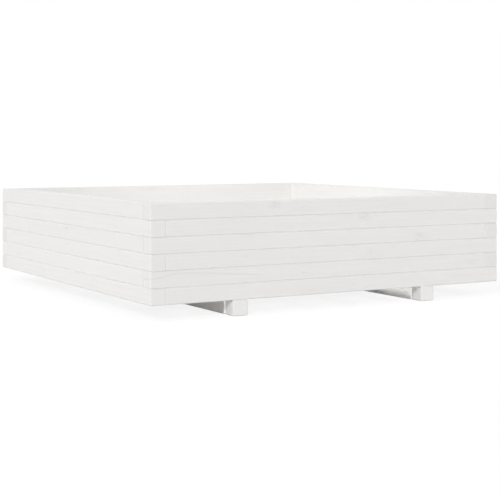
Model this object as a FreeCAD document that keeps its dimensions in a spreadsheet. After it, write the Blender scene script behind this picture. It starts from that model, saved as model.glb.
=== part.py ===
# Square garden planter of stacked battens, with a slatted floor on two runners.
# Origin: centre of the footprint, on the ground. +Z is up, and the front wall faces -Y.
import FreeCAD, Part
import os
import Sketcher
from FreeCAD import Placement, Rotation, Vector
from types import SimpleNamespace

# Driving dimensions in millimetres, and counts: alias, value, meaning
SIZES = [
    ("side_length", 1000, "outer width and depth of the box"),
    ("board_thickness", 38, "wall thickness"),
    ("board_height", 38, "height of one course"),
    ("course_count", 6, "courses in the wall"),
    ("board_edge_chamfer", 2, "eased long edges of wall boards, on their outer side"),
    ("board_end_chamfer", 1.5, "eased edges round the ends of wall boards"),
    ("runner_inset", 209, "side of the box to the outer face of a runner"),
    ("runner_width", 40, "runner and foot, across"),
    ("runner_height", 37, "runner and foot, upright"),
    ("foot_length", 36, "foot block, from the outer face of the wall inwards"),
    ("foot_seam_gap", 2, "foot block to the end of its runner"),
    ("runner_edge_chamfer", 3, "eased long edges of runners and feet"),
    ("foot_end_chamfer", 2, "eased edges round the ends of runners and feet"),
    ("bearer_count", 3, "cross bearers under the floor"),
    ("bearer_width", 70, "cross bearer, front to back"),
    ("bearer_thickness", 15, "cross bearer, upright"),
    ("bearer_end_gap", 2, "bearer end to the wall"),
    ("bearer_wall_distance", 142, "wall to the nearest bearer"),
    ("slat_count", 8, "floor slats"),
    ("slat_width", 80, "floor slat, across"),
    ("slat_thickness", 15, "floor slat, upright"),
    ("slat_wall_gap", 14.6, "outer slat to the wall beside it"),
    ("slat_end_gap", 5, "slat end to the wall"),
    ("floor_edge_chamfer", 1.2, "eased edges of bearers and slats"),
    ("dowel_diameter", 8, "beech dowels"),
    ("dowel_clearance", 0.1, "dowel to the wall of its hole"),
    ("dowel_web", 6, "wood between the upper and lower dowel holes of a board"),
    ("dowel_corner_distance", 100, "corner of the box to the nearest dowel along a wall"),
    ("foot_dowel_depth", 16, "dowel holes in the ends of runners and feet"),
    ("foot_dowel_spacing", 16, "two dowels, one above the other, in a foot"),
    ("hole_end_room", 1, "room in a hole past the end of its dowel or screw"),
    ("screw_clearance", 0.1, "screw to the wall of its hole"),
    ("screw_set_depth", 0.5, "screw head below the wood"),
    ("foot_screw_bite", 23.5, "foot screw inside the wall"),
    ("foot_screw_diameter", 5, "shank"),
    ("foot_screw_head", 10, "head"),
    ("foot_screw_spacing", 20, "two screws side by side in a foot"),
    ("bearer_screw_bite", 25, "bearer screw inside the runner"),
    ("bearer_screw_diameter", 4.5, "shank"),
    ("bearer_screw_head", 9, "head"),
    ("bearer_screw_spacing", 40, "two screws where a bearer crosses a runner"),
    ("slat_screw_cover", 1.5, "wood left under the tip of a slat screw"),
    ("slat_screw_diameter", 4, "shank"),
    ("slat_screw_head", 8, "head"),
    ("slat_screw_spacing", 50, "two screws where a slat crosses a bearer"),
]

# Shape of a countersunk screw, as shares of its shank and head
TIP_LENGTH_SHARE = 1.4
TIP_END_SHARE = 0.1
RECESS_WIDTH_SHARE = 0.14
RECESS_REACH_SHARE = 0.56
RECESS_DEPTH_SHARE = 0.22

WALLS = ["front", "right", "back", "left"]
QUARTER_TURN = 90
HALF_TURN = 180
FULL_TURN = 360
COUNTERSINK_ANGLE = 90

doc = FreeCAD.newDocument("planter")


class Length:
    """A length from the sheet, or a sum of such lengths: its expression, and its value."""

    def __init__(self, text, value):
        self.text = text
        self.value = value

    def combine(self, other, sign, value):
        return Length("(%s %s %s)" % (self.text, sign, as_length(other).text), value)

    def __add__(self, other):
        return self.combine(other, "+", self.value + as_length(other).value)

    def __sub__(self, other):
        return self.combine(other, "-", self.value - as_length(other).value)

    def __mul__(self, other):
        return self.combine(other, "*", self.value * as_length(other).value)

    def __truediv__(self, other):
        return self.combine(other, "/", self.value / as_length(other).value)

    def __neg__(self):
        return self * -1


def as_length(number):
    return number if isinstance(number, Length) else Length(str(number), number)


# The sheet of driving dimensions
def make_sheet():
    sheet = doc.addObject("Spreadsheet::Sheet", "Sizes")
    for row, (alias, value, meaning) in enumerate(SIZES, start=1):
        sheet.set("A%d" % row, alias)
        sheet.set("B%d" % row, str(value))
        sheet.set("C%d" % row, meaning)
        sheet.setAlias("B%d" % row, alias)
    doc.recompute()
    return {alias: Length("Sizes." + alias, float(sheet.get(alias))) for alias, value, meaning in SIZES}


size = SimpleNamespace(**make_sheet())
course_count = int(size.course_count.value)
bearer_count = int(size.bearer_count.value)
slat_count = int(size.slat_count.value)

# Lengths and places that several pieces share
half_side = size.side_length / 2
half_board = size.board_thickness / 2
half_runner = size.runner_width / 2
board_length = size.side_length - size.board_thickness
inner_length = size.side_length - size.board_thickness * 2
half_inner = inner_length / 2
dowel_hole = size.dowel_diameter + size.dowel_clearance * 2
dowel_depth = (size.board_height - size.dowel_web) / 2
runner_length = size.side_length - (size.foot_length + size.foot_seam_gap) * 2
runner_x = half_side - size.runner_inset - half_runner
foot_screw_inset = size.foot_length / 2
bearer_y = half_inner - size.bearer_wall_distance - size.bearer_width / 2
bearer_top = size.runner_height + size.bearer_thickness
slat_reach = half_inner - size.slat_wall_gap - size.slat_width / 2
bearer_places = [bearer_y * (2 * number / (bearer_count - 1) - 1) for number in range(bearer_count)]
slat_places = [slat_reach * (2 * number / (slat_count - 1) - 1) for number in range(slat_count)]


def both_ways(middle, spacing):
    return [middle - spacing / 2, middle + spacing / 2]


# Screws: what each kind is made of, and the holes that it needs
def screw_kind(diameter, head, length):
    shank_hole = diameter + size.screw_clearance * 2
    mouth = head + size.screw_clearance * 2 + size.screw_set_depth * 2
    return SimpleNamespace(diameter=diameter, head=head, length=length, hole=shank_hole, mouth=mouth)


foot_screw = screw_kind(
    size.foot_screw_diameter,
    size.foot_screw_head,
    size.runner_height - size.screw_set_depth + size.foot_screw_bite,
)
bearer_screw = screw_kind(
    size.bearer_screw_diameter,
    size.bearer_screw_head,
    size.bearer_thickness - size.screw_set_depth + size.bearer_screw_bite,
)
slat_screw = screw_kind(
    size.slat_screw_diameter,
    size.slat_screw_head,
    size.slat_thickness + size.bearer_thickness - size.screw_set_depth - size.slat_screw_cover,
)


# Battens: a rectangular bar along its own X, with eased edges
def origin_plane(body, role):
    return [feature for feature in body.Origin.OriginFeatures if feature.Role == role][0]


def sketch_on(body, name, role, lift):
    sketch = body.newObject("Sketcher::SketchObject", name)
    sketch.AttachmentSupport = [(origin_plane(body, role), "")]
    sketch.MapMode = "FlatFace"
    sketch.setExpression(".AttachmentOffset.Base.z", as_length(lift).text)
    return sketch


def bind(sketch, constraint_parts, length):
    """A constraint of the sketch whose size follows the sheet."""
    number = sketch.addConstraint(Sketcher.Constraint(*constraint_parts, length.value))
    sketch.setExpression("Constraints[%d]" % number, length.text)


def draw_section(sketch, width, height):
    corners = [Vector(0, 0, 0), Vector(1, 0, 0), Vector(1, 1, 0), Vector(0, 1, 0)]
    for start, end in zip(corners, corners[1:] + corners[:1]):
        sketch.addGeometry(Part.LineSegment(start, end), False)
    for side in range(4):
        sketch.addConstraint(Sketcher.Constraint("Coincident", side, 2, (side + 1) % 4, 1))
    sketch.addConstraint(Sketcher.Constraint("Coincident", 0, 1, -1, 1))
    for side, kind in enumerate(["Horizontal", "Vertical", "Horizontal", "Vertical"]):
        sketch.addConstraint(Sketcher.Constraint(kind, side))
    bind(sketch, ("Distance", 0), width)
    bind(sketch, ("Distance", 1), height)


def runs_along(edge):
    return abs(edge.Vertexes[0].X - edge.Vertexes[-1].X) > abs(edge.Length) / 2


def runs_across(edge):
    return not runs_along(edge)


def long_edges(width, sides):
    """A test for the long edges on the near side, at the bar's own Y = 0, or on the far side."""

    def wanted(edge):
        side = "far" if edge.Vertexes[0].Y > width.value / 2 else "near"
        return runs_along(edge) and side in sides

    return wanted


def ease_edges(body, base, name, wanted, chamfer):
    chosen = ["Edge%d" % number for number, edge in enumerate(base.Shape.Edges, start=1) if wanted(edge)]
    feature = body.newObject("PartDesign::Chamfer", name)
    feature.Base = (base, chosen)
    feature.setExpression("Size", chamfer.text)
    doc.recompute()
    return feature


def batten(label, length, width, height, long_chamfer, end_chamfer, sides=("near", "far")):
    body = doc.addObject("PartDesign::Body", "Body_" + label)
    body.Label = label
    section = sketch_on(body, "section_" + label, "YZ_Plane", 0)
    draw_section(section, width, height)
    bar = body.newObject("PartDesign::Pad", "bar_" + label)
    bar.Profile = section
    bar.setExpression("Length", length.text)
    doc.recompute()
    eased = ease_edges(body, bar, "long_edges_" + label, long_edges(width, sides), long_chamfer)
    body.Tip = ease_edges(body, eased, "end_edges_" + label, runs_across, end_chamfer)
    return body


def drill(body, name, spots, diameter, depth, role="XY_Plane", lift=0, forward=False, mouth=None):
    """Round holes at spots of the batten; with a mouth, countersunk where they start."""
    before = body.Tip.Shape.Volume
    sketch = sketch_on(body, "spots_" + name, role, lift)
    for across, up in spots:
        centre = Vector(across.value, up.value, 0)
        circle = sketch.addGeometry(Part.Circle(centre, Vector(0, 0, 1), diameter.value / 2), False)
        bind(sketch, ("DistanceX", -1, 1, circle, 3), across)
        bind(sketch, ("DistanceY", -1, 1, circle, 3), up)
        bind(sketch, ("Diameter", circle), diameter)
    doc.recompute()
    if mouth is None:
        hole = body.newObject("PartDesign::Pocket", name)
        hole.Profile = sketch
        hole.setExpression("Length", depth.text)
    else:
        hole = body.newObject("PartDesign::Hole", name)
        hole.Profile = sketch
        hole.ThreadType = "None"
        hole.HoleCutType = "Countersink"
        hole.DepthType = "Dimension"
        hole.DrillPoint = "Flat"
        hole.HoleCutCountersinkAngle = COUNTERSINK_ANGLE
        hole.setExpression("Diameter", diameter.text)
        hole.setExpression("HoleCutDiameter", mouth.text)
        hole.setExpression("Depth", depth.text)
    hole.Reversed = forward
    doc.recompute()
    body.Tip = hole
    doc.recompute()
    if not hole.Shape.Volume < before:
        raise ValueError("no wood was cut by " + name)


def place(body, x, y, z, turn):
    body.Placement = Placement(Vector(0, 0, 0), Rotation(Vector(0, 0, 1), turn))
    for axis, length in (("x", x), ("y", y), ("z", z)):
        body.setExpression(".Placement.Base." + axis, as_length(length).text)


# Walls: each course is four like boards that chase each other round the box.
# Every second course runs the other way, so the corner joints alternate.
# The boards meet in a small V groove outside, and flush inside.
def board_corner(quarter, mirrored):
    """The corner of the box at which a board starts."""
    x, y = -half_side, -half_side
    if mirrored:
        x, y = half_side, size.board_thickness - half_side
    for turn in range(quarter):
        x, y = -y, x
    return x, y


def wall_board(wall, level):
    quarter = WALLS.index(wall)
    mirrored = level % 2 == 0
    label = "%s_board_%d" % (wall, level + 1)
    body = batten(
        label,
        board_length,
        size.board_thickness,
        size.board_height,
        size.board_edge_chamfer,
        size.board_end_chamfer,
        sides=("far",) if mirrored else ("near",),
    )
    along = [
        half_board,
        size.dowel_corner_distance,
        half_side,
        size.side_length - size.dowel_corner_distance,
    ]
    spots = [(place_along, half_board) for place_along in along]
    if level > 0:
        drill(body, "lower_holes_" + label, spots, dowel_hole, dowel_depth, forward=True)
    if level < course_count - 1:
        drill(body, "upper_holes_" + label, spots, dowel_hole, dowel_depth, lift=size.board_height)
    if level == 0 and wall in ("front", "back"):
        screw_spots = [
            (screw_x, size.board_thickness - foot_screw_inset)
            for foot_x in both_ways(half_side, runner_x * 2)
            for screw_x in both_ways(foot_x, size.foot_screw_spacing)
        ]
        depth = size.foot_screw_bite + size.hole_end_room
        drill(body, "screw_holes_" + label, screw_spots, foot_screw.hole, depth, forward=True)
    x, y = board_corner(quarter, mirrored)
    turn = quarter * QUARTER_TURN + (HALF_TURN if mirrored else 0)
    place(body, x, y, size.runner_height + size.board_height * level, turn)
    return body


# Runners and feet: a foot block under the wall closes each end of a runner
def runner_batten(label, length):
    return batten(
        label,
        length,
        size.runner_width,
        size.runner_height,
        size.runner_edge_chamfer,
        size.foot_end_chamfer,
    )


def foot_dowel_spots():
    return [(half_runner, up) for up in both_ways(size.runner_height / 2, size.foot_dowel_spacing)]


def foot(label, x, y, turn):
    """A foot from the outer face of the wall inwards, turned so that its own X points inwards."""
    body = runner_batten(label, size.foot_length)
    screw_spots = [(foot_screw_inset, across) for across in both_ways(half_runner, size.foot_screw_spacing)]
    drill(
        body,
        "screw_holes_" + label,
        screw_spots,
        foot_screw.hole,
        size.runner_height,
        forward=True,
        mouth=foot_screw.mouth,
    )
    drill(
        body,
        "dowel_holes_" + label,
        foot_dowel_spots(),
        dowel_hole,
        size.foot_dowel_depth,
        role="YZ_Plane",
        lift=size.foot_length,
    )
    place(body, x, y, 0, turn)
    return body


def runner(label, x):
    body = runner_batten(label, runner_length)
    ends = {"role": "YZ_Plane"}
    drill(
        body,
        "front_holes_" + label,
        foot_dowel_spots(),
        dowel_hole,
        size.foot_dowel_depth,
        forward=True,
        **ends,
    )
    drill(
        body,
        "back_holes_" + label,
        foot_dowel_spots(),
        dowel_hole,
        size.foot_dowel_depth,
        lift=runner_length,
        **ends,
    )
    screw_spots = [
        (along, half_runner)
        for bearer_middle in bearer_places
        for along in both_ways(runner_length / 2 + bearer_middle, size.bearer_screw_spacing)
    ]
    depth = size.bearer_screw_bite + size.hole_end_room
    drill(
        body,
        "screw_holes_" + label,
        screw_spots,
        bearer_screw.hole,
        depth,
        lift=size.runner_height,
    )
    place(body, x + half_runner, -runner_length / 2, 0, QUARTER_TURN)
    return body


# Floor: cross bearers on the runners, and slats from front to back on the bearers
def bearer(label, y):
    length = inner_length - size.bearer_end_gap * 2
    chamfers = (size.floor_edge_chamfer, size.floor_edge_chamfer)
    body = batten(label, length, size.bearer_width, size.bearer_thickness, *chamfers)
    middle = size.bearer_width / 2
    runner_spots = [
        (along, across)
        for along in both_ways(length / 2, runner_x * 2)
        for across in both_ways(middle, size.bearer_screw_spacing)
    ]
    drill(
        body,
        "runner_screw_holes_" + label,
        runner_spots,
        bearer_screw.hole,
        size.bearer_thickness,
        lift=size.bearer_thickness,
        mouth=bearer_screw.mouth,
    )
    slat_spots = [
        (along, middle)
        for slat_x in slat_places
        for along in both_ways(length / 2 + slat_x, size.slat_screw_spacing)
    ]
    depth = size.bearer_thickness - size.slat_screw_cover + size.hole_end_room
    drill(body, "slat_screw_holes_" + label, slat_spots, slat_screw.hole, depth, lift=size.bearer_thickness)
    place(body, -length / 2, y - middle, size.runner_height, 0)
    return body


def slat(label, x):
    length = inner_length - size.slat_end_gap * 2
    chamfers = (size.floor_edge_chamfer, size.floor_edge_chamfer)
    body = batten(label, length, size.slat_width, size.slat_thickness, *chamfers)
    middle = size.slat_width / 2
    spots = [
        (length / 2 + bearer_middle, across)
        for bearer_middle in bearer_places
        for across in both_ways(middle, size.slat_screw_spacing)
    ]
    drill(
        body,
        "screw_holes_" + label,
        spots,
        slat_screw.hole,
        size.slat_thickness,
        lift=size.slat_thickness,
        mouth=slat_screw.mouth,
    )
    place(body, x + middle, -length / 2, bearer_top, QUARTER_TURN)
    return body


# Dowels: groups of like solids, each dowel against the bottom of one of its two holes
def dowels(length, direction, starts):
    radius = size.dowel_diameter.value / 2
    return [Part.makeCylinder(radius, length.value, start, direction) for start in starts]


def wall_dowels():
    corner = (half_side - half_board).value
    reach = (half_side - size.dowel_corner_distance).value
    starts = []
    for joint in range(1, course_count):
        level = (size.runner_height + size.board_height * joint - dowel_depth).value
        for quarter in range(len(WALLS)):
            turn = Rotation(Vector(0, 0, 1), quarter * QUARTER_TURN)
            starts += [turn.multVec(Vector(along, -corner, level)) for along in (-corner, -reach, 0, reach)]
    return dowels(dowel_depth * 2 - size.hole_end_room, Vector(0, 0, 1), starts)


def foot_dowels():
    length = size.foot_dowel_depth * 2 + size.foot_seam_gap - size.hole_end_room
    first = (half_side - size.foot_length + size.foot_dowel_depth).value
    solids = []
    for inward in (1, -1):
        starts = [
            Vector(x, -inward * first, up.value)
            for x in (-runner_x.value, runner_x.value)
            for across, up in foot_dowel_spots()
        ]
        solids += dowels(length, Vector(0, inward, 0), starts)
    return solids


# Screws: a countersunk head with a cross recess, a plain shank and a cone at the tip
def screw_shape(kind):
    """A screw along -Z, with the flat of its head at the origin."""
    head, diameter, length = kind.head.value, kind.diameter.value, kind.length.value
    neck = (head - diameter) / 2
    outline = [
        Vector(0, 0, 0),
        Vector(head / 2, 0, 0),
        Vector(diameter / 2, 0, -neck),
        Vector(diameter / 2, 0, diameter * TIP_LENGTH_SHARE - length),
        Vector(diameter * TIP_END_SHARE, 0, -length),
        Vector(0, 0, -length),
        Vector(0, 0, 0),
    ]
    screw = Part.Face(Part.makePolygon(outline)).revolve(Vector(0, 0, 0), Vector(0, 0, 1), FULL_TURN)
    reach = head * RECESS_REACH_SHARE
    width = head * RECESS_WIDTH_SHARE
    depth = head * RECESS_DEPTH_SHARE
    bar = Part.makeBox(reach, width, depth, Vector(-reach / 2, -width / 2, -depth))
    cross = bar.copy()
    cross.rotate(Vector(0, 0, 0), Vector(0, 0, 1), QUARTER_TURN)
    return screw.cut([bar, cross])


def screws(kind, spots, upward=False):
    first = screw_shape(kind)
    if upward:
        first.rotate(Vector(0, 0, 0), Vector(1, 0, 0), HALF_TURN)
    return [first.translated(spot) for spot in spots]


def foot_screws():
    y = (half_side - foot_screw_inset).value
    z = size.screw_set_depth.value
    spots = [
        Vector(x.value, side * y, z)
        for foot_x in (-runner_x, runner_x)
        for x in both_ways(foot_x, size.foot_screw_spacing)
        for side in (-1, 1)
    ]
    return screws(foot_screw, spots, upward=True)


def bearer_screws():
    z = (bearer_top - size.screw_set_depth).value
    spots = [
        Vector(x.value, y.value, z)
        for x in (-runner_x, runner_x)
        for bearer_middle in bearer_places
        for y in both_ways(bearer_middle, size.bearer_screw_spacing)
    ]
    return screws(bearer_screw, spots)


def slat_screws():
    z = (bearer_top + size.slat_thickness - size.screw_set_depth).value
    spots = [
        Vector(x.value, bearer_middle.value, z)
        for slat_x in slat_places
        for bearer_middle in bearer_places
        for x in both_ways(slat_x, size.slat_screw_spacing)
    ]
    return screws(slat_screw, spots)


def group(label, solids):
    feature = doc.addObject("Part::Feature", "Group_" + label)
    feature.Label = label
    feature.Shape = Part.makeCompound(solids)
    feature.Placement = Placement()
    return feature


# The whole planter
def build():
    pieces = [wall_board(wall, level) for level in range(course_count) for wall in WALLS]
    for side, x in (("left", -runner_x), ("right", runner_x)):
        pieces.append(foot("foot_front_" + side, x + half_runner, -half_side, QUARTER_TURN))
        pieces.append(foot("foot_back_" + side, x - half_runner, half_side, -QUARTER_TURN))
        pieces.append(runner("runner_" + side, x))
    pieces += [bearer("floor_bearer_%d" % number, y) for number, y in enumerate(bearer_places, start=1)]
    pieces += [slat("floor_slat_%d" % number, x) for number, x in enumerate(slat_places, start=1)]
    pieces.append(group("wall_dowels", wall_dowels()))
    pieces.append(group("foot_dowels", foot_dowels()))
    pieces.append(group("foot_screws", foot_screws()))
    pieces.append(group("bearer_screws", bearer_screws()))
    pieces.append(group("slat_screws", slat_screws()))
    doc.recompute()
    return pieces


def check(pieces):
    for thing in doc.Objects:
        if "Invalid" in thing.State or "Error" in thing.State:
            raise ValueError("%s did not build" % thing.Label)
    for piece in pieces:
        if piece.Shape.isNull() or not piece.Shape.isValid():
            raise ValueError("%s has no sound shape" % piece.Label)


def write(pieces):
    os.makedirs("parts", exist_ok=True)
    for piece in pieces:
        piece.Shape.exportStep("parts/%s.step" % piece.Label)


all_pieces = build()
check(all_pieces)
write(all_pieces)
print("%d pieces written" % len(all_pieces))
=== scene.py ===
import math
import random

import bmesh
import bpy
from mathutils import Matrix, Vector


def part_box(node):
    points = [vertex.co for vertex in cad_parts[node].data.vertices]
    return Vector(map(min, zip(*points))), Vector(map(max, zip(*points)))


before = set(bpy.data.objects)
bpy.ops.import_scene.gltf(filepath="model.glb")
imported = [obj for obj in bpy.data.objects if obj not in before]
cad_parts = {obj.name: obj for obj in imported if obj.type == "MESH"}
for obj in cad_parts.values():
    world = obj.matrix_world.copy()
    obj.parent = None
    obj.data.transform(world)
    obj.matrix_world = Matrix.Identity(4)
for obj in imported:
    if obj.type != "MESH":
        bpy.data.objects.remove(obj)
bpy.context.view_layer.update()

# Camera: level, on the front left of the box, as far away as the photograph's perspective says
CAMERA_PLACE = (-1.692, -3.010, 0.405)
CAMERA_LEVEL = math.pi / 2
CAMERA_TURN = math.radians(-29.95)
CAMERA_LENS = 90
CAMERA_SENSOR = 36
CAMERA_SHIFT_DOWN = 0.2192

# Sun-like studio lamps: direction of travel, share of full light on a face square to it, softness in degrees
FULL_SUN = math.pi
SUNS = {
    "key_lamp": ((0.632, 0.622, -0.462), 0.366, 3),
    "side_lamp": ((0.6, 0.0, -0.8), 0.11, 7),
}
# A soft box hangs low over the planter and lights its inner walls
SOFT_BOX_PLACE = (-0.02, 0.02, 0.65)
SOFT_BOX_WIDTH = 0.5
SOFT_BOX_POWER = 1.08
# Narrow lamps shine down through the gaps of the floor. One, beside the right runner, leaves a lit band on
# its side, and two, between the slat ends and the front wall, leave a stripe near the end of each runner.
GAP_TRAVEL = (0.545, 0.0, -0.838)
GAP_SPREAD = 2
BAND_LENGTH = 0.134
BAND_POWER = 0.0087
BAND_DISTANCE = 0.35
STRIPE_POWER = 0.00027
STRIPE_DISTANCE = 0.1
# Light of the room on the object. The camera sees the room as full white.
ROOM_LIGHT = 0.63
ROOM_COLOUR = (1, 1, 1, 1)
# The floor as other light meets it, and as the camera sees it: a glow, and a grey that takes the shadow
FLOOR_REACH = 30
FLOOR_COLOUR = (0.9, 0.9, 0.9, 1)
FLOOR_SHOWN = (0.19, 0.19, 0.19, 1)
FLOOR_GLOW = 0.84

# Paint on pine, before light falls on it. Its lightness differs a little from board to board.
PAINT = (0.845, 0.838, 0.827)
# Feet and runners have a lighter paint: painted light that lifts their shade under the planter
FOOT_PAINT_WITH_PAINTED_LIGHT = (0.875, 0.868, 0.856)
PAINT_LIGHTNESS = (0.992, 1.004)
PAINT_SHINE = 0.2
GRAIN_TONE = (0.72, 0.70, 0.67, 1)
# The knot colour is also the colour of the painted shade in the joints at the board ends
KNOT_AND_SHADE_TONE = (0.56, 0.535, 0.50, 1)
WORN_TONE = (0.76, 0.73, 0.69, 1)
END_TONE = (0.72, 0.714, 0.705, 1)
# How far growth rings, streaks, worn patches and knots show through the paint
RINGS_SHOWN = 0.22
STREAKS_SHOWN = 0.16
WEAR_SHOWN = 0.3
KNOTS_SHOWN = 0.22
# How far end grain is stained, by wall, and how much painted shade darkens the eased edges round the ends
# where boards meet in a joint, by board or by wall
END_STAINS = {"front": 0.11, "right": 0.25, "back": 0.36, "other": 0.03}
EDGE_SHADES = {"left_board_6": 0.38, "left_board_4": 0.46, "left_board_2": 0.36, "right": 0.2, "other": 0.06}

# Knots by board: place along the wall, height, radius in metres, and how dark
KNOTS = {
    "front_board_6": [
        (-0.177, 0.2540, 0.0095, 0.85),
        (-0.099, 0.2478, 0.0035, 1.0),
    ],
    "front_board_5": [
        (0.076, 0.2170, 0.0105, 0.9),
        (-0.204, 0.2109, 0.004, 0.35),
        (-0.135, 0.1991, 0.004, 0.3),
    ],
    "front_board_4": [
        (0.235, 0.1565, 0.005, 0.9),
        (0.248, 0.1660, 0.008, 0.6),
        (-0.244, 0.1867, 0.004, 0.4),
        (-0.266, 0.1880, 0.004, 1.0),
    ],
    "front_board_3": [
        (0.0485, 0.1490, 0.005, 0.7),
        (0.093, 0.1330, 0.008, 0.7),
        (0.168, 0.1401, 0.005, 0.4),
        (-0.260, 0.1388, 0.006, 0.4),
        (-0.345, 0.1145, 0.0035, 1.0),
        (-0.413, 0.1140, 0.0035, 0.9),
    ],
    "front_board_2": [
        (-0.099, 0.0909, 0.0035, 1.0),
        (0.411, 0.0905, 0.008, 0.45),
        (-0.345, 0.1150, 0.003, 0.8),
    ],
    "front_board_1": [
        (0.045, 0.0541, 0.005, 0.5),
        (-0.212, 0.0573, 0.003, 0.3),
        (-0.071, 0.0488, 0.003, 0.3),
    ],
    "left_board_4": [
        (0.001, 0.1816, 0.006, 1.0),
    ],
    "left_board_3": [
        (-0.006, 0.1372, 0.005, 0.4),
    ],
    "left_board_2": [
        (0.365, 0.0948, 0.006, 0.6),
        (0.267, 0.1023, 0.005, 0.4),
        (-0.314, 0.0927, 0.005, 0.4),
    ],
    "left_board_1": [
        (0.332, 0.0568, 0.005, 0.4),
        (0.174, 0.0610, 0.006, 0.5),
        (-0.163, 0.0470, 0.005, 0.4),
    ],
}
# Boards that aren't listed get knots by chance: how many, how far from the middle as a share of the board's
# size, radius and how dark. Feet get none, and the front and left walls only those listed above.
NO_CHANCE_KNOTS = ("foot", "front", "left")
CHANCE_KNOTS = (1, 3)
CHANCE_ALONG = 0.46
CHANCE_UP = 0.35
CHANCE_RADIUS = (0.003, 0.007)
CHANCE_STRENGTH = (0.35, 1.0)
# Arched grain by board: place of its top along the wall, height of the top, and bend of the rings in 1/m
ARCHES = {"front_board_2": (-0.43, 0.1062, 0.65)}
# On other boards the rings bend by chance, from a place up to this far from the middle
CHANCE_ARCH = 0.4
CHANCE_BEND = 0.12

# Noise: layers of detail, from few to many, and how rough it is
COARSE_DETAIL = 2
NOISE_DETAIL = 3
BEECH_DETAIL = 4
STREAK_DETAIL = 5
NOISE_ROUGHNESS = 0.55
STREAK_ROUGHNESS = 0.62

# In the values below, REPEATS are repeats of a noise to the metre, along the grain and across it. A pair
# named EDGE, REACH, END, ENDS, FACE or SIDE says where a trait is gone and where it is full. WIDTH is how
# far a value swings in all. SHOWN and DARK are shares of full strength.
# A knot, measured in its own radius: its ragged outline, and its heart, rays and flame
KNOT_SHAPE = (0.62, 0, 1)
RAGGED_SCALE = 260
RAGGED_WIDTH = 1.6
EDDY_SCALE = 170
EDDY_WIDTH = 3
HEART_EDGE = (1.1, 0.2)
HEART_DARK = 0.4
RAY_SLOPE = -1.1
RAY_RAGGED = 0.5
RAY_EDGE = (0.75, 0.1)
RAY_REACH = (2.1, 0.5)
RAY_DARK = 0.45
FLAME_SHAPE = (0.16, 0, 1.3)
FLAME_REACH = (1.8, 0.2)
FLAME_DARK = 0.4
STRAND_REPEATS = (14, 330)
STRAND_EDGE = (0.42, 0.62)
BEND_REACH = (4.5, 0.4)
BEND_DEPTH = -0.7
# The line of an arch in metres. It falls at this slope from a rounded top, and leans to one side.
ARCH_SLOPE = 0.14
ARCH_ROUNDING = 0.03
ARCH_LEAN = -0.056
ARCH_REPEATS = (16, 16)
ARCH_WIDTH = 0.0016
ARCH_EDGE = (0.0034, 0.0006)
ARCH_ENDS = (0.24, 0.19)
ARCH_STRENGTH = 0.75
# Growth rings, in metres from the pith, and the years in which their late wood is strong. The pith lies up
# to so far from the board's middle through the thickness, and so far above or below it.
PITH_DEEP = 0.06
PITH_AWAY = (0.012, 0.05)
ACROSS_GRAIN = (0, 1, 1)
RING_REPEATS = (3.0, 22)
RING_WIDTH = 0.022
RINGS_PER_METRE = 190
LATE_POWER = 3
LATE_END = (1.0, 0.9)
YEARS_PER_METRE = 70
YEAR_REPEATS = (1.5, 0)
YEAR_EDGE = (0.45, 0.7)
# Streaks and fibres. Each board has its own part of the noise, this far off at most.
NOISE_OFFSET = 20
STREAK_REPEATS = (5, 170)
STREAK_EDGE = (0.3, 0.7)
FIBRE_REPEATS = (40, 1300)
# Worn patches on eased edges
PATCH_REPEATS = (30, 90)
PATCH_EDGE = (0.45, 0.75)
# Share of a face's normal along the grain for an end, along any one direction for a face that isn't an
# eased edge, and along the grain for an eased edge round an end
END_FACE = (0.8, 0.95)
EASED_FACE = (0.95, 0.8)
END_SIDE = (0.3, 0.5)

# Surfaces: ROUGHNESS is how far it grows with a trait and its least, RELIEF is strength and height in metres
PINE_ROUGHNESS = (0.16, 0.6)
PINE_RELIEF = (0.3, 0.0004)
FIBRE_HEIGHT = 0.5
RING_HEIGHT = -0.6
# Beech of the dowels
BEECH_LIGHT = (0.62, 0.42, 0.26, 1)
BEECH_SHADE = (0.40, 0.24, 0.13, 1)
BEECH_ALONG = 60
BEECH_ACROSS = 900
BEECH_STREAKS_SHOWN = 0.6
FLECK_SCALE = 2.5
FLECK_EDGE = (0.6, 0.7)
FLECKS_SHOWN = 0.5
BEECH_ROUGHNESS = (0.2, 0.5)
BEECH_RELIEF = (0.3, 0.0002)
# Zinc of the screws
ZINC_BRIGHT = (0.78, 0.78, 0.76, 1)
ZINC_BLOOM = (0.62, 0.61, 0.57, 1)
BLOOM_SCALE = 700
TURNING_REPEATS = (400, 400, 4000)
ZINC_ROUGHNESS = (0.25, 0.22)
ZINC_RELIEF = (0.2, 0.0001)
# Directions of an axis, by number
FRONT_TO_BACK = 1
UPRIGHT = 2

# Sockets of the node that blends two colours
BLEND_FACTOR = 0
BLEND_FIRST = 6
BLEND_SECOND = 7
BLEND_RESULT = 2


# Node helpers
def fill(tree, node, inputs):
    """Link sockets to the inputs of a node, and set plain values on them."""
    for name, value in inputs.items():
        if isinstance(value, bpy.types.NodeSocket):
            tree.links.new(value, node.inputs[name])
        else:
            node.inputs[name].default_value = value


def add(tree, kind, inputs=None, **settings):
    node = tree.nodes.new("ShaderNode" + kind)
    for name, setting in settings.items():
        setattr(node, name, setting)
    fill(tree, node, inputs or {})
    return node


def maths(tree, operation, *values):
    return add(tree, "Math", dict(enumerate(values)), operation=operation).outputs[0]


def vector_maths(tree, operation, *values):
    node = add(tree, "VectorMath", dict(enumerate(values)), operation=operation)
    return node.outputs["Value" if operation == "LENGTH" else "Vector"]


def parts_of(tree, vector):
    return add(tree, "SeparateXYZ", {0: vector}).outputs


def spread(tree, value):
    """A vector with one value in all its parts."""
    return add(tree, "CombineXYZ", {"X": value, "Y": value, "Z": value}).outputs[0]


def fade(tree, value, low, high):
    """0 at low and 1 at high, with soft ends."""
    inputs = {"Value": value, "From Min": low, "From Max": high}
    return add(tree, "MapRange", inputs, interpolation_type="SMOOTHSTEP").outputs[0]


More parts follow.
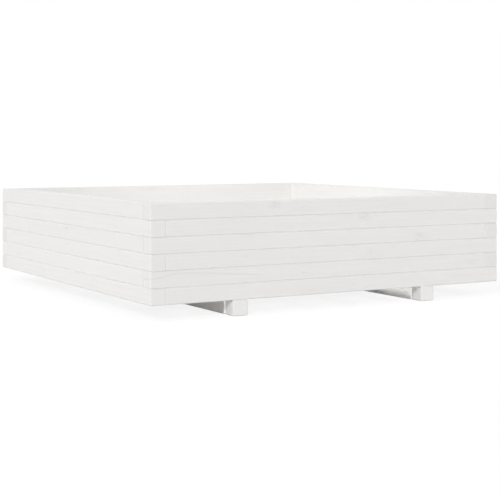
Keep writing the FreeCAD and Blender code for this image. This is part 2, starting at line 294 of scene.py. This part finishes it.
def swing(tree, level, width):
    """From a level between 0 and 1 to a swing to both sides of 0."""
    return maths(tree, "MULTIPLY_ADD", level, width, -width / 2)


def blend_colour(tree, factor, first, second):
    inputs = {BLEND_FACTOR: factor, BLEND_FIRST: first, BLEND_SECOND: second}
    return add(tree, "Mix", inputs, data_type="RGBA").outputs[BLEND_RESULT]


def noise(tree, vector, scale=1, detail=NOISE_DETAIL, roughness=NOISE_ROUGHNESS):
    inputs = {"Vector": vector, "Scale": scale, "Detail": detail, "Roughness": roughness}
    return add(tree, "TexNoise", inputs).outputs[0]


def stretched(tree, vector, along, across):
    return vector_maths(tree, "MULTIPLY", vector, (along, across, across))


def grain_noise(tree, vector, repeats, detail=NOISE_DETAIL, roughness=NOISE_ROUGHNESS):
    return noise(tree, stretched(tree, vector, *repeats), 1, detail, roughness)


def new_group(name, inputs, outputs):
    """A node group with sockets by name and kind, and the sockets inside it."""
    group = bpy.data.node_groups.new(name, "ShaderNodeTree")
    for way, sockets in (("INPUT", inputs), ("OUTPUT", outputs)):
        for socket, kind in sockets.items():
            group.interface.new_socket(name=socket, in_out=way, socket_type="NodeSocket" + kind)
    start = group.nodes.new("NodeGroupInput")
    end = group.nodes.new("NodeGroupOutput")
    return group, start.outputs, end.inputs


def use_group(tree, group, inputs):
    node = tree.nodes.new("ShaderNodeGroup")
    node.node_tree = group
    fill(tree, node, inputs)
    return node.outputs


# Wood figure. From the middle of the board, the grain runs along X, the thickness is Y and the height is Z.
def make_knot_group():
    """A branch through the thickness. Grain bends round its dark heart, and four feathered rays leave it."""
    inputs = {"Vector": "Vector", "Place": "Vector", "Radius": "Float", "Strength": "Float", "Dark": "Float"}
    group, given, out = new_group("knot", inputs, {"Vector": "Vector", "Dark": "Float"})
    radius = spread(group, given["Radius"])
    away = vector_maths(group, "SUBTRACT", given["Vector"], given["Place"])
    ragged = swing(group, noise(group, given["Vector"], RAGGED_SCALE), RAGGED_WIDTH)
    flat = vector_maths(group, "DIVIDE", vector_maths(group, "MULTIPLY", away, KNOT_SHAPE), radius)
    inputs = {"Vector": given["Vector"], "Scale": EDDY_SCALE, "Detail": COARSE_DETAIL}
    eddies = add(group, "TexNoise", inputs).outputs["Color"]
    width = Vector((EDDY_WIDTH, 0, EDDY_WIDTH))
    eddies = vector_maths(group, "MULTIPLY_ADD", eddies, width, -width / 2)
    flat = vector_maths(group, "ADD", flat, eddies)
    reach = vector_maths(group, "LENGTH", flat)
    heart = fade(group, maths(group, "ADD", reach, ragged), *HEART_EDGE)
    parts = parts_of(group, vector_maths(group, "ABSOLUTE", flat))
    slope = maths(group, "MULTIPLY_ADD", parts["X"], RAY_SLOPE, parts["Z"])
    from_ray = maths(group, "ABSOLUTE", maths(group, "MULTIPLY_ADD", ragged, RAY_RAGGED, slope))
    rays = maths(group, "MULTIPLY", fade(group, from_ray, *RAY_EDGE), fade(group, reach, *RAY_REACH))
    drawn_out = vector_maths(group, "DIVIDE", vector_maths(group, "MULTIPLY", away, FLAME_SHAPE), radius)
    flame_reach = fade(group, vector_maths(group, "LENGTH", drawn_out), *FLAME_REACH)
    strands = fade(group, grain_noise(group, given["Vector"], STRAND_REPEATS), *STRAND_EDGE)
    flame = maths(group, "MULTIPLY", flame_reach, strands)
    tone = maths(group, "MULTIPLY_ADD", rays, RAY_DARK, maths(group, "MULTIPLY", heart, HEART_DARK))
    tone = maths(group, "MULTIPLY_ADD", flame, FLAME_DARK, tone)
    dark = maths(group, "MULTIPLY", tone, given["Strength"])
    group.links.new(maths(group, "MAXIMUM", given["Dark"], dark), out["Dark"])
    bend = maths(group, "MULTIPLY", fade(group, reach, *BEND_REACH), BEND_DEPTH)
    rise = maths(group, "MULTIPLY", parts_of(group, away)["Z"], bend)
    shift = add(group, "CombineXYZ", {"Z": rise}).outputs[0]
    group.links.new(vector_maths(group, "ADD", given["Vector"], shift), out["Vector"])
    return group


def make_arch_group():
    """One dark late-wood line that climbs to a top and falls again."""
    group, given, out = new_group("arch", {"Vector": "Vector", "Place": "Vector"}, {"Dark": "Float"})
    parts = parts_of(group, vector_maths(group, "SUBTRACT", given["Vector"], given["Place"]))
    square = maths(group, "MULTIPLY_ADD", parts["X"], parts["X"], ARCH_ROUNDING ** 2)
    rise = maths(group, "SUBTRACT", maths(group, "SQRT", square), ARCH_ROUNDING)
    lean = maths(group, "MULTIPLY", parts["X"], ARCH_LEAN)
    fall = maths(group, "MULTIPLY_ADD", rise, ARCH_SLOPE, lean)
    wander = swing(group, grain_noise(group, given["Vector"], ARCH_REPEATS, COARSE_DETAIL), ARCH_WIDTH)
    above = maths(group, "ADD", maths(group, "ADD", parts["Z"], fall), wander)
    line = fade(group, maths(group, "ABSOLUTE", above), *ARCH_EDGE)
    ends = fade(group, maths(group, "ABSOLUTE", parts["X"]), *ARCH_ENDS)
    group.links.new(maths(group, "MULTIPLY", line, ends), out["Dark"])
    return group


def make_figure_group():
    """Growth rings round a pith in or near the board, and streaks and fibres along it."""
    inputs = {"Vector": "Vector", "Pith": "Vector", "Offset": "Vector", "Arch": "Float", "Bend": "Float"}
    outputs = {"Late": "Float", "Streak": "Float", "Fibre": "Float"}
    group, given, out = new_group("pine_figure", inputs, outputs)
    moved = vector_maths(group, "ADD", given["Vector"], given["Offset"])
    from_pith = vector_maths(group, "SUBTRACT", given["Vector"], given["Pith"])
    straight = vector_maths(group, "LENGTH", vector_maths(group, "MULTIPLY", from_pith, ACROSS_GRAIN))
    from_arch = maths(group, "SUBTRACT", parts_of(group, given["Vector"])["X"], given["Arch"])
    arch = maths(group, "MULTIPLY", maths(group, "MULTIPLY", from_arch, from_arch), given["Bend"])
    wander = swing(group, grain_noise(group, moved, RING_REPEATS), RING_WIDTH)
    radius = maths(group, "ADD", maths(group, "ADD", straight, arch), wander)
    ring = maths(group, "FRACT", maths(group, "MULTIPLY", radius, RINGS_PER_METRE))
    late = maths(group, "MULTIPLY", maths(group, "POWER", ring, LATE_POWER), fade(group, ring, *LATE_END))
    year = add(group, "CombineXYZ", {"X": maths(group, "MULTIPLY", radius, YEARS_PER_METRE)}).outputs[0]
    years = vector_maths(group, "ADD", year, stretched(group, moved, *YEAR_REPEATS))
    strong = fade(group, noise(group, years, detail=COARSE_DETAIL), *YEAR_EDGE)
    group.links.new(maths(group, "MULTIPLY", late, strong), out["Late"])
    streak = grain_noise(group, moved, STREAK_REPEATS, STREAK_DETAIL, STREAK_ROUGHNESS)
    group.links.new(fade(group, streak, *STREAK_EDGE), out["Streak"])
    group.links.new(grain_noise(group, moved, FIBRE_REPEATS), out["Fibre"])
    return group


def make_faces_group():
    """1 on a board's ends, on all its eased edges, and on those round its ends, from the face's normal."""
    outputs = {"End": "Float", "Edge": "Float", "End Edge": "Float"}
    group, given, out = new_group("board_faces", {"Normal": "Vector"}, outputs)
    parts = parts_of(group, vector_maths(group, "ABSOLUTE", given["Normal"]))
    group.links.new(fade(group, parts["X"], *END_FACE), out["End"])
    largest = maths(group, "MAXIMUM", parts["X"], maths(group, "MAXIMUM", parts["Y"], parts["Z"]))
    edge = fade(group, largest, *EASED_FACE)
    group.links.new(edge, out["Edge"])
    group.links.new(maths(group, "MULTIPLY", edge, fade(group, parts["X"], *END_SIDE)), out["End Edge"])
    return group


knot_group = make_knot_group()
arch_group = make_arch_group()
figure_group = make_figure_group()
faces_group = make_faces_group()


# Materials
def empty_tree(owner):
    owner.use_nodes = True
    owner.node_tree.nodes.clear()
    return owner.node_tree


def new_material(name):
    material = bpy.data.materials.new(name)
    tree = empty_tree(material)
    shader = add(tree, "BsdfPrincipled")
    add(tree, "OutputMaterial", {"Surface": shader.outputs[0]})
    return material, tree, shader


def set_surface(tree, shader, colour, trait, roughness, height, relief):
    """Link the colour, a roughness that grows with a trait, and a relief."""
    tree.links.new(colour, shader.inputs["Base Color"])
    tree.links.new(maths(tree, "MULTIPLY_ADD", trait, *roughness), shader.inputs["Roughness"])
    strength, distance = relief
    bump = add(tree, "Bump", {"Height": height, "Strength": strength, "Distance": distance})
    tree.links.new(bump.outputs[0], shader.inputs["Normal"])


def board_coordinates(tree, middle, turned):
    """Object coordinates from the middle of a board and its normals, with X along its grain."""
    coordinates = add(tree, "TexCoord").outputs
    centred = vector_maths(tree, "SUBTRACT", coordinates["Object"], tuple(middle))
    if not turned:
        return centred, coordinates["Normal"]
    quarter_turn = (0, 0, -math.pi / 2)
    place = add(tree, "Mapping", {"Vector": centred, "Rotation": quarter_turn}).outputs[0]
    normal = add(tree, "Mapping", {"Vector": coordinates["Normal"], "Rotation": quarter_turn}).outputs[0]
    return place, normal


# Amount for a board from a table of end-grain stain or of painted joint shade, by board, then by wall
def stain_or_shade_of(node, stains_or_shades):
    wall = node.split("_")[0]
    return stains_or_shades.get(node, stains_or_shades.get(wall, stains_or_shades["other"]))


def painted_pine(node, middle, turned, knots, arch, bend, chance):
    material, tree, shader = new_material("painted_pine_" + node)
    vector, normal = board_coordinates(tree, middle, turned)
    dark = 0.0
    for place, radius, strength in knots:
        inputs = {"Vector": vector, "Place": place, "Radius": radius, "Strength": strength, "Dark": dark}
        bent = use_group(tree, knot_group, inputs)
        vector = bent["Vector"]
        dark = bent["Dark"]
    side = -1 if node in ARCHES else chance.choice((-1, 1))
    pith = (0, chance.uniform(-PITH_DEEP, PITH_DEEP), side * chance.uniform(*PITH_AWAY))
    offset = tuple(chance.uniform(-NOISE_OFFSET, NOISE_OFFSET) for axis in range(3))
    inputs = {"Vector": vector, "Pith": pith, "Offset": offset, "Arch": arch[0], "Bend": bend}
    figure = use_group(tree, figure_group, inputs)
    if node in ARCHES:
        line = use_group(tree, arch_group, {"Vector": vector, "Place": arch})["Dark"]
        dark = maths(tree, "MAXIMUM", dark, maths(tree, "MULTIPLY", line, ARCH_STRENGTH))
    faces = use_group(tree, faces_group, {"Normal": normal})
    # Feet and runners take the lighter paint, as painted light
    tone = FOOT_PAINT_WITH_PAINTED_LIGHT if node.startswith(("foot", "runner")) else PAINT
    lightness = chance.uniform(*PAINT_LIGHTNESS)
    paint = tuple(channel * lightness for channel in tone) + (1,)
    rings = maths(tree, "MULTIPLY", figure["Late"], RINGS_SHOWN)
    grain = maths(tree, "MULTIPLY_ADD", figure["Streak"], STREAKS_SHOWN, rings)
    colour = blend_colour(tree, grain, paint, GRAIN_TONE)
    end = maths(tree, "MULTIPLY", faces["End"], stain_or_shade_of(node, END_STAINS))
    colour = blend_colour(tree, end, colour, END_TONE)
    patches = fade(tree, grain_noise(tree, vector, PATCH_REPEATS), *PATCH_EDGE)
    worn = maths(tree, "MULTIPLY", maths(tree, "MULTIPLY", faces["Edge"], patches), WEAR_SHOWN)
    colour = blend_colour(tree, worn, colour, WORN_TONE)
    # Painted shade in the joints: the eased edges round a board's ends are darkened towards the knot colour
    joint_shade = maths(tree, "MULTIPLY", faces["End Edge"], stain_or_shade_of(node, EDGE_SHADES))
    colour = blend_colour(tree, joint_shade, colour, KNOT_AND_SHADE_TONE)
    if knots or node in ARCHES:
        colour = blend_colour(tree, maths(tree, "MULTIPLY", dark, KNOTS_SHOWN), colour, KNOT_AND_SHADE_TONE)
    shader.inputs["Specular IOR Level"].default_value = PAINT_SHINE
    sunk_rings = maths(tree, "MULTIPLY", figure["Late"], RING_HEIGHT)
    height = maths(tree, "MULTIPLY_ADD", figure["Fibre"], FIBRE_HEIGHT, sunk_rings)
    set_surface(tree, shader, colour, figure["Streak"], PINE_ROUGHNESS, height, PINE_RELIEF)
    return material


def beech(name, direction):
    """Unpainted hardwood with short dark flecks along the grain."""
    material, tree, shader = new_material(name)
    repeats = tuple(BEECH_ALONG if axis == direction else BEECH_ACROSS for axis in range(3))
    grain = vector_maths(tree, "MULTIPLY", add(tree, "TexCoord").outputs["Object"], repeats)
    streak = noise(tree, grain, detail=BEECH_DETAIL)
    fleck = fade(tree, noise(tree, grain, FLECK_SCALE, COARSE_DETAIL), *FLECK_EDGE)
    streaks = maths(tree, "MULTIPLY", streak, BEECH_STREAKS_SHOWN)
    factor = maths(tree, "MULTIPLY_ADD", fleck, FLECKS_SHOWN, streaks)
    colour = blend_colour(tree, factor, BEECH_LIGHT, BEECH_SHADE)
    set_surface(tree, shader, colour, streak, BEECH_ROUGHNESS, streak, BEECH_RELIEF)
    return material


def zinc(name):
    """Bright zinc plating with a faint blotchy bloom and fine turning marks."""
    material, tree, shader = new_material(name)
    shader.inputs["Metallic"].default_value = 1
    coordinates = add(tree, "TexCoord").outputs["Object"]
    bloom = noise(tree, coordinates, BLOOM_SCALE)
    colour = blend_colour(tree, bloom, ZINC_BRIGHT, ZINC_BLOOM)
    marks = noise(tree, vector_maths(tree, "MULTIPLY", coordinates, TURNING_REPEATS), detail=COARSE_DETAIL)
    set_surface(tree, shader, colour, bloom, ZINC_ROUGHNESS, marks, ZINC_RELIEF)
    return material


# Dressing: each wooden piece has its own material, made for its place and the way that it runs
def dress(node, material):
    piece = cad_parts[node]
    if not piece.material_slots:
        piece.data.materials.append(material)
    for slot in piece.material_slots:
        slot.material = material


def chance_knots(chance, size):
    """One to three knots anywhere along a board."""
    return [
        (
            (
                chance.uniform(-CHANCE_ALONG, CHANCE_ALONG) * size.x,
                0,
                chance.uniform(-CHANCE_UP, CHANCE_UP) * size.z,
            ),
            chance.uniform(*CHANCE_RADIUS),
            chance.uniform(*CHANCE_STRENGTH),
        )
        for number in range(chance.randint(*CHANCE_KNOTS))
    ]


def dress_wood(node):
    chance = random.Random(node)
    low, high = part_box(node)
    middle = (low + high) / 2
    size = high - low
    turned = node.startswith("foot") or size.y > size.x
    if turned:
        size = Vector((size.y, size.x, size.z))
    centre = middle.y if turned else middle.x
    knots = [
        ((along - centre, 0, up - middle.z), radius, strength)
        for along, up, radius, strength in KNOTS.get(node, ())
    ]
    if node not in KNOTS and not node.startswith(NO_CHANCE_KNOTS):
        knots = chance_knots(chance, size)
    arch = (chance.uniform(-CHANCE_ARCH, CHANCE_ARCH), 0, 0)
    bend = chance.uniform(0, CHANCE_BEND)
    if node in ARCHES:
        along, up, bend = ARCHES[node]
        arch = (along - centre, 0, up - middle.z)
    dress(node, painted_pine(node, middle, turned, knots, arch, bend, chance))


for node in sorted(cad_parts):
    if not node.endswith(("dowels", "screws")):
        dress_wood(node)
dress("wall_dowels", beech("beech_upright", UPRIGHT))
dress("foot_dowels", beech("beech_level", FRONT_TO_BACK))
for node in ("foot_screws", "bearer_screws", "slat_screws"):
    dress(node, zinc("zinc_" + node))


# Studio: floor, room light, lamps and camera
def put(name, data):
    thing = bpy.data.objects.new(name, data)
    bpy.context.scene.collection.objects.link(thing)
    return thing


def turn_along(lamp, travel):
    lamp.rotation_mode = "QUATERNION"
    lamp.rotation_quaternion = Vector(travel).to_track_quat("-Z", "Y")


def seen_rays(tree):
    """1 where a ray shows a surface or its reflection, 0 where it carries light between surfaces."""
    paths = add(tree, "LightPath").outputs
    seen = maths(tree, "MAXIMUM", paths["Is Camera Ray"], paths["Is Glossy Ray"])
    return maths(tree, "MAXIMUM", seen, paths["Is Transmission Ray"])


def make_floor():
    mesh = bpy.data.meshes.new("studio_floor")
    shape = bmesh.new()
    bmesh.ops.create_grid(shape, x_segments=1, y_segments=1, size=FLOOR_REACH)
    shape.to_mesh(mesh)
    shape.free()
    floor = put("studio_floor", mesh)
    material = bpy.data.materials.new("floor_white")
    tree = empty_tree(material)
    seen = seen_rays(tree)
    plain = add(tree, "BsdfDiffuse", {"Color": FLOOR_COLOUR}).outputs[0]
    grey = add(tree, "BsdfDiffuse", {"Color": FLOOR_SHOWN}).outputs[0]
    glow = add(tree, "Emission", {"Strength": FLOOR_GLOW}).outputs[0]
    shown = add(tree, "AddShader", {0: grey, 1: glow}).outputs[0]
    both = add(tree, "MixShader", {0: seen, 1: plain, 2: shown}).outputs[0]
    add(tree, "OutputMaterial", {"Surface": both})
    mesh.materials.append(material)


def make_room():
    world = bpy.data.worlds.new("studio")
    bpy.context.scene.world = world
    tree = empty_tree(world)
    strength = maths(tree, "MULTIPLY_ADD", seen_rays(tree), 1 - ROOM_LIGHT, ROOM_LIGHT)
    background = add(tree, "Background", {"Color": ROOM_COLOUR, "Strength": strength}).outputs[0]
    add(tree, "OutputWorld", {"Surface": background})


def make_suns():
    for name, (travel, share, softness) in SUNS.items():
        light = bpy.data.lights.new(name, "SUN")
        light.energy = FULL_SUN * share
        light.angle = math.radians(softness)
        turn_along(put(name, light), travel)


def make_soft_box():
    light = bpy.data.lights.new("soft_box", "AREA")
    light.energy = SOFT_BOX_POWER
    light.size = SOFT_BOX_WIDTH
    lamp = put("soft_box", light)
    lamp.location = SOFT_BOX_PLACE
    lamp.visible_camera = False


def make_gap_lamp(name, aim, length, width, power, distance):
    light = bpy.data.lights.new(name, "AREA")
    light.shape = "RECTANGLE"
    light.energy = power
    light.size = length
    light.size_y = width
    light.spread = math.radians(GAP_SPREAD)
    lamp = put(name, light)
    lamp.location = Vector(aim) - Vector(GAP_TRAVEL) * distance
    turn_along(lamp, GAP_TRAVEL)
    lamp.visible_camera = False


def make_gap_lamps():
    across = GAP_TRAVEL[0]
    fall = -GAP_TRAVEL[2]
    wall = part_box("front_board_1")[1].y
    slat_low, slat_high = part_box("floor_slat_6")
    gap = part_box("floor_slat_7")[0].x - slat_high.x
    aim = (slat_high.x + gap / 2, wall + BAND_LENGTH / 2, slat_high.z)
    make_gap_lamp("band_lamp", aim, BAND_LENGTH, gap * fall, BAND_POWER, BAND_DISTANCE)
    for runner in ("runner_left", "runner_right"):
        low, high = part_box(runner)
        aim = (low.x, (wall + slat_low.y) / 2, (low.z + high.z) / 2)
        width = (high.z - low.z) * across
        length = slat_low.y - wall
        make_gap_lamp("stripe_lamp_" + runner, aim, length, width, STRIPE_POWER, STRIPE_DISTANCE)


def make_camera():
    lens = bpy.data.cameras.new("camera")
    lens.lens = CAMERA_LENS
    lens.sensor_width = CAMERA_SENSOR
    lens.shift_y = -CAMERA_SHIFT_DOWN
    camera = put("camera", lens)
    camera.location = CAMERA_PLACE
    camera.rotation_euler = (CAMERA_LEVEL, 0, CAMERA_TURN)
    bpy.context.scene.camera = camera


make_floor()
make_room()
make_suns()
make_soft_box()
make_gap_lamps()
make_camera()
bpy.context.scene.view_settings.view_transform = "Standard"
